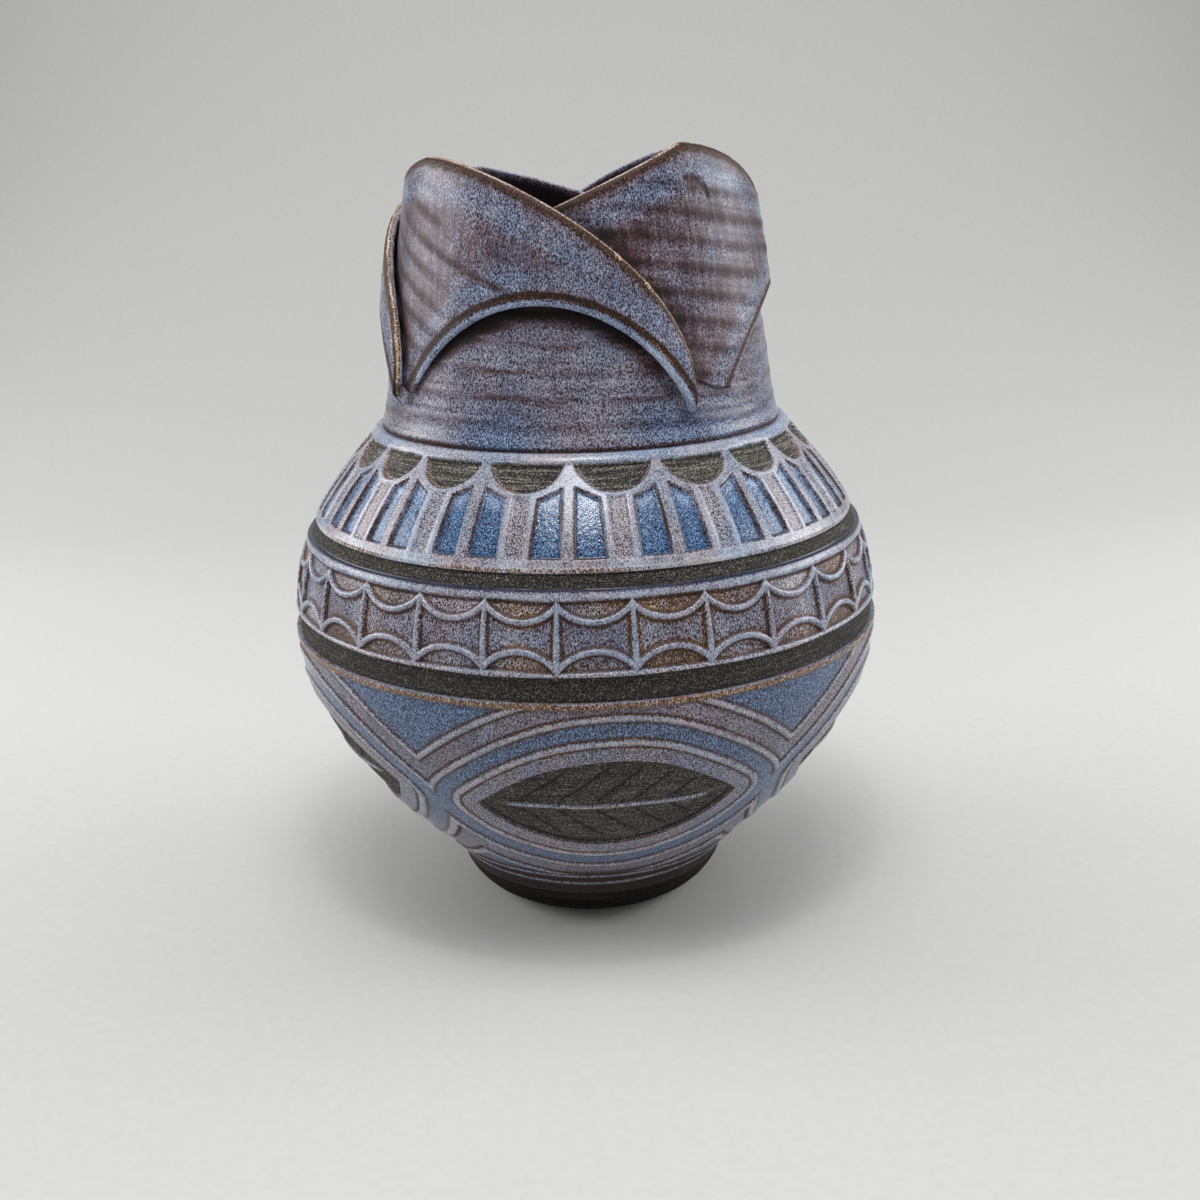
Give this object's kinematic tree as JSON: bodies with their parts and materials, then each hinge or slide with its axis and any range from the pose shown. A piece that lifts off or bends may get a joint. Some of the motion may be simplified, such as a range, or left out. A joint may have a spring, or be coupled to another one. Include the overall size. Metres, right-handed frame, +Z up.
{
  "type": "carved stoneware vase",
  "caption": "Round-bellied stoneware vase with carved bands, a turned foot ring, a collar neck and a rim of overlapping cut petals; holds stems.",
  "frame": {"origin": "centre of the foot ring's underside, on the surface that the vase stands on", "axes": "+Z up along the throwing axis; -Y towards the front petal; +X to the right seen from the front"},
  "size_m": [0.19, 0.19, 0.2435],
  "materials": {
    "bare_clay": "dark unglazed stoneware, matte and grainy",
    "carved_glaze": "speckled lavender-blue glaze carved through to dark clay",
    "neck_glaze": "speckled lavender-blue glaze over purple-brown",
    "petal_glaze": "speckled lavender-blue glaze, breaking to iron brown on the cut lips"
  },
  "bodies": {
    "root": {"foot_ring": "bare_clay", "body": "carved_glaze", "neck_collar": "neck_glaze", "petal_front": "petal_glaze", "petal_right": "petal_glaze", "petal_back": "petal_glaze", "petal_left": "petal_glaze"}
  },
  "joints": []
}
